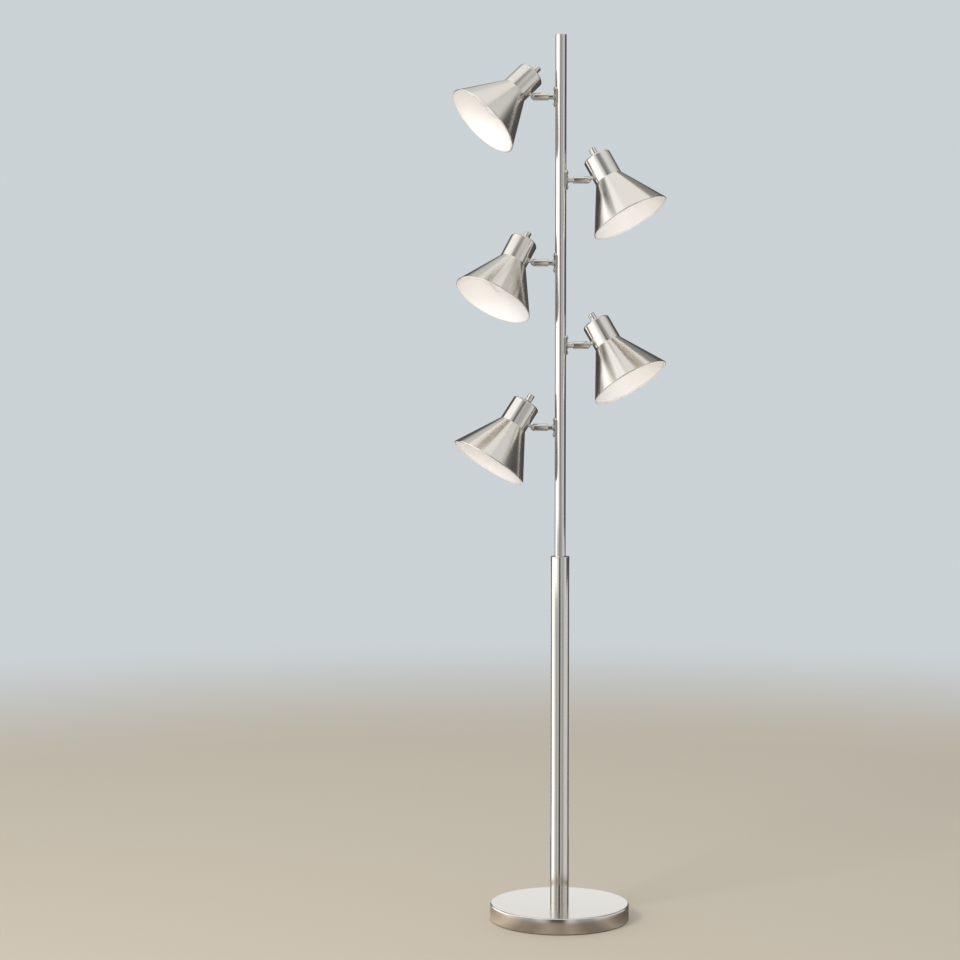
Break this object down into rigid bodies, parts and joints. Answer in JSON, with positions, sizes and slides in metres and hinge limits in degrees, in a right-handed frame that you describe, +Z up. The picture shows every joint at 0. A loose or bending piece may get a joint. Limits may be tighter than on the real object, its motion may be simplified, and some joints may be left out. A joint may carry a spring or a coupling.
{
  "type": "tree floor lamp",
  "caption": "Floor lamp with a weighted round base, a stepped pole and spotlight heads on slotted ball swivels, each with its own rotary switch.",
  "frame": {"origin": "on the floor under the axis of the pole, at the centre of the base", "axes": "+Z up along the pole, heads 2 and 4 towards +X, front (the side the shades open to) towards -Y"},
  "size_m": [0.3851, 0.258, 1.61],
  "materials": {
    "satin_nickel": "satin nickel plate, fine lathe grain",
    "zinc_steel": "zinc-plated steel",
    "concrete": "cast concrete",
    "pad_rubber": "matte black",
    "bushing_plastic": "matte black",
    "holder_plastic": "white thermoset",
    "frosted_glass": "frosted white",
    "cap_brass": "nickel-plated brass screw cap"
  },
  "bodies": {
    "stand": {"base_cover": "satin_nickel", "base_weight": "concrete", "base_pad": "pad_rubber", "cord_bushing": "bushing_plastic", "lower_tube": "satin_nickel", "tie_rod": "zinc_steel", "tube_collar": "satin_nickel", "pole": "satin_nickel", "pole_cap": "satin_nickel", "stand_fasteners": "zinc_steel", "saddle_1": "satin_nickel", "arm_tube_1": "satin_nickel", "saddle_2": "satin_nickel", "arm_tube_2": "satin_nickel", "saddle_3": "satin_nickel", "arm_tube_3": "satin_nickel", "saddle_4": "satin_nickel", "arm_tube_4": "satin_nickel", "saddle_5": "satin_nickel", "arm_tube_5": "satin_nickel"},
    "swivel_1": {"swivel_barrel_1": "satin_nickel"},
    "head_1": {"ball_stem_1": "satin_nickel", "shade_1": "satin_nickel", "lampholder_1": "holder_plastic", "switch_bush_1": "satin_nickel", "bulb_glass_1": "frosted_glass", "bulb_base_1": "cap_brass"},
    "knob_1": {"switch_knob_1": "satin_nickel"},
    "swivel_2": {"swivel_barrel_2": "satin_nickel"},
    "head_2": {"ball_stem_2": "satin_nickel", "shade_2": "satin_nickel", "lampholder_2": "holder_plastic", "switch_bush_2": "satin_nickel", "bulb_glass_2": "frosted_glass", "bulb_base_2": "cap_brass"},
    "knob_2": {"switch_knob_2": "satin_nickel"},
    "swivel_3": {"swivel_barrel_3": "satin_nickel"},
    "head_3": {"ball_stem_3": "satin_nickel", "shade_3": "satin_nickel", "lampholder_3": "holder_plastic", "switch_bush_3": "satin_nickel", "bulb_glass_3": "frosted_glass", "bulb_base_3": "cap_brass"},
    "knob_3": {"switch_knob_3": "satin_nickel"},
    "swivel_4": {"swivel_barrel_4": "satin_nickel"},
    "head_4": {"ball_stem_4": "satin_nickel", "shade_4": "satin_nickel", "lampholder_4": "holder_plastic", "switch_bush_4": "satin_nickel", "bulb_glass_4": "frosted_glass", "bulb_base_4": "cap_brass"},
    "knob_4": {"switch_knob_4": "satin_nickel"},
    "swivel_5": {"swivel_barrel_5": "satin_nickel"},
    "head_5": {"ball_stem_5": "satin_nickel", "shade_5": "satin_nickel", "lampholder_5": "holder_plastic", "switch_bush_5": "satin_nickel", "bulb_glass_5": "frosted_glass", "bulb_base_5": "cap_brass"},
    "knob_5": {"switch_knob_5": "satin_nickel"}
  },
  "joints": [
    {"name": "swivel_1", "type": "hinge", "parent": "stand", "child": "swivel_1", "pos_m": [-0.0375, 0, 1.4986], "axis": [-1, 0, 0], "range_deg": [-187.9, 142.1]},
    {"name": "tilt_1", "type": "hinge", "parent": "swivel_1", "child": "head_1", "pos_m": [-0.05, 0, 1.4986], "axis": [0, 0.9212, -0.3891], "range_deg": [-39.9, 22.1]},
    {"name": "knob_1", "type": "hinge", "parent": "head_1", "child": "knob_1", "pos_m": [-0.04437, 0.02134, 1.54911], "axis": [0.6807, 0.285, 0.6748], "continuous": true},
    {"name": "swivel_2", "type": "hinge", "parent": "stand", "child": "swivel_2", "pos_m": [0.0375, 0, 1.3496], "axis": [-1, 0, 0], "range_deg": [-180.6, 149.4]},
    {"name": "tilt_2", "type": "hinge", "parent": "swivel_2", "child": "head_2", "pos_m": [0.05, 0, 1.3496], "axis": [0, -0.9632, 0.2689], "range_deg": [-24.5, 37.5]},
    {"name": "knob_2", "type": "hinge", "parent": "head_2", "child": "knob_2", "pos_m": [0.05913, 0.01462, 1.40196], "axis": [-0.4617, 0.2385, 0.8543], "continuous": true},
    {"name": "swivel_3", "type": "hinge", "parent": "stand", "child": "swivel_3", "pos_m": [-0.0375, 0, 1.2006], "axis": [-1, 0, 0], "range_deg": [-187.9, 142.1]},
    {"name": "tilt_3", "type": "hinge", "parent": "swivel_3", "child": "head_3", "pos_m": [-0.05, 0, 1.2006], "axis": [0, 0.9212, -0.3891], "range_deg": [-23, 39]},
    {"name": "knob_3", "type": "hinge", "parent": "head_3", "child": "knob_3", "pos_m": [-0.06055, 0.02105, 1.25044], "axis": [0.4384, 0.3497, 0.828], "continuous": true},
    {"name": "swivel_4", "type": "hinge", "parent": "stand", "child": "swivel_4", "pos_m": [0.0375, 0, 1.0516], "axis": [-1, 0, 0], "range_deg": [-183.5, 146.5]},
    {"name": "tilt_4", "type": "hinge", "parent": "swivel_4", "child": "head_4", "pos_m": [0.05, 0, 1.0516], "axis": [0, -0.9483, 0.3173], "range_deg": [-25.3, 36.7]},
    {"name": "knob_4", "type": "hinge", "parent": "head_4", "child": "knob_4", "pos_m": [0.05837, 0.01729, 1.10326], "axis": [-0.4741, 0.2794, 0.835], "continuous": true},
    {"name": "swivel_5", "type": "hinge", "parent": "stand", "child": "swivel_5", "pos_m": [-0.0375, 0, 0.9026], "axis": [-1, 0, 0], "range_deg": [-178.7, 151.3]},
    {"name": "tilt_5", "type": "hinge", "parent": "swivel_5", "child": "head_5", "pos_m": [-0.05, 0, 0.9026], "axis": [0, 0.9715, -0.2368], "range_deg": [-29, 33]},
    {"name": "knob_5", "type": "hinge", "parent": "head_5", "child": "knob_5", "pos_m": [-0.05484, 0.013, 0.95595], "axis": [0.5299, 0.2009, 0.8239], "continuous": true}
  ]
}
